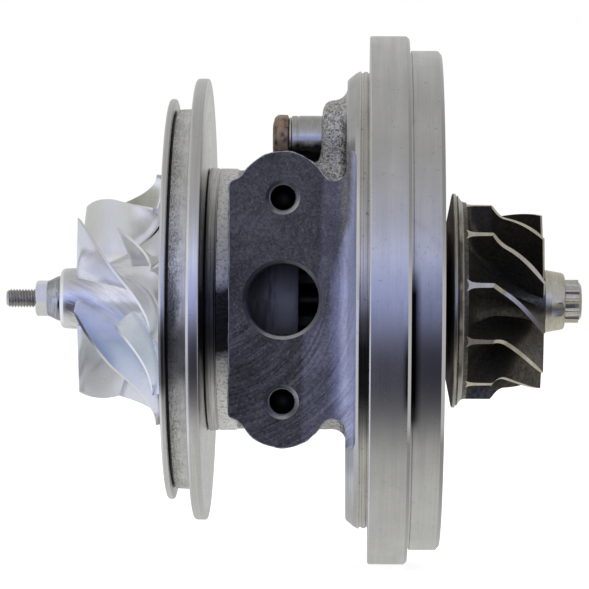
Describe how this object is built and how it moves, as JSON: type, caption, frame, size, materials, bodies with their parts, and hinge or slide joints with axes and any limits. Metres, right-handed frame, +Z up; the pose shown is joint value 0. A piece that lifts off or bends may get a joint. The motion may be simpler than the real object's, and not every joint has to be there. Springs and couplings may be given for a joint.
{
  "type": "turbocharger cartridge",
  "caption": "Turbocharger cartridge: cast centre housing with milled oil-drain face, turned backplate, bladed compressor and turbine wheels on a floating shaft, and a vane crank.",
  "frame": {"origin": "on the shaft axis, in the plane of the shoulder between the turbine-side clamp flange and its pilot ring", "axes": "+X along the shaft toward the turbine wheel, -Y out of the oil-drain face, +Z up as pictured; fitted in an engine, the drain face looks down"},
  "size_m": [0.1552, 0.1422, 0.1422],
  "materials": {
    "cast_iron": "as cast, with turned and milled faces",
    "turned_steel": "satin turned",
    "black_rubber": "matt",
    "dark_steel": "dark oxide",
    "shield_steel": "pressed sheet, satin",
    "wheel_aluminium": "cast and polished",
    "bright_steel": "polished",
    "ground_steel": "ground",
    "turbine_alloy": "dark cast nickel alloy, ground tips",
    "spring_steel": "ground",
    "bronze": "machined",
    "rusted_steel": "heat-browned"
  },
  "bodies": {
    "housing": {"centre_housing": "cast_iron", "compressor_backplate": "turned_steel", "backplate_oring": "black_rubber", "backplate_screws": "dark_steel", "heat_shield": "shield_steel", "turbine_seal_ring": "spring_steel", "compressor_seal_ring": "spring_steel", "thrust_bearing": "bronze", "thrust_pins": "ground_steel", "oil_deflector": "shield_steel", "bush_circlips": "spring_steel", "vane_crank_bush": "bright_steel"},
    "rotor": {"shaft": "ground_steel", "turbine_wheel": "turbine_alloy", "compressor_wheel": "wheel_aluminium", "shaft_nut": "bright_steel", "sealing_sleeve": "ground_steel", "thrust_collar": "ground_steel"},
    "bush_compressor": {"journal_bush_compressor": "bronze"},
    "bush_turbine": {"journal_bush_turbine": "bronze"},
    "vane_crank": {"vane_crank_shaft": "rusted_steel", "vane_crank_arm": "dark_steel"}
  },
  "joints": [
    {"name": "rotor_spin", "type": "hinge", "parent": "housing", "child": "rotor", "pos_m": [0, 0, 0], "axis": [1, 0, 0], "continuous": true},
    {"name": "bush_compressor_spin", "type": "hinge", "parent": "housing", "child": "bush_compressor", "pos_m": [-0.0393, 0, 0], "axis": [1, 0, 0], "continuous": true},
    {"name": "bush_turbine_spin", "type": "hinge", "parent": "housing", "child": "bush_turbine", "pos_m": [-0.0151, 0, 0], "axis": [1, 0, 0], "continuous": true},
    {"name": "vane_crank_turn", "type": "hinge", "parent": "housing", "child": "vane_crank", "pos_m": [-0.02, -0.003, 0.0432], "axis": [1, 0, 0], "range_deg": [-30, 30]}
  ]
}
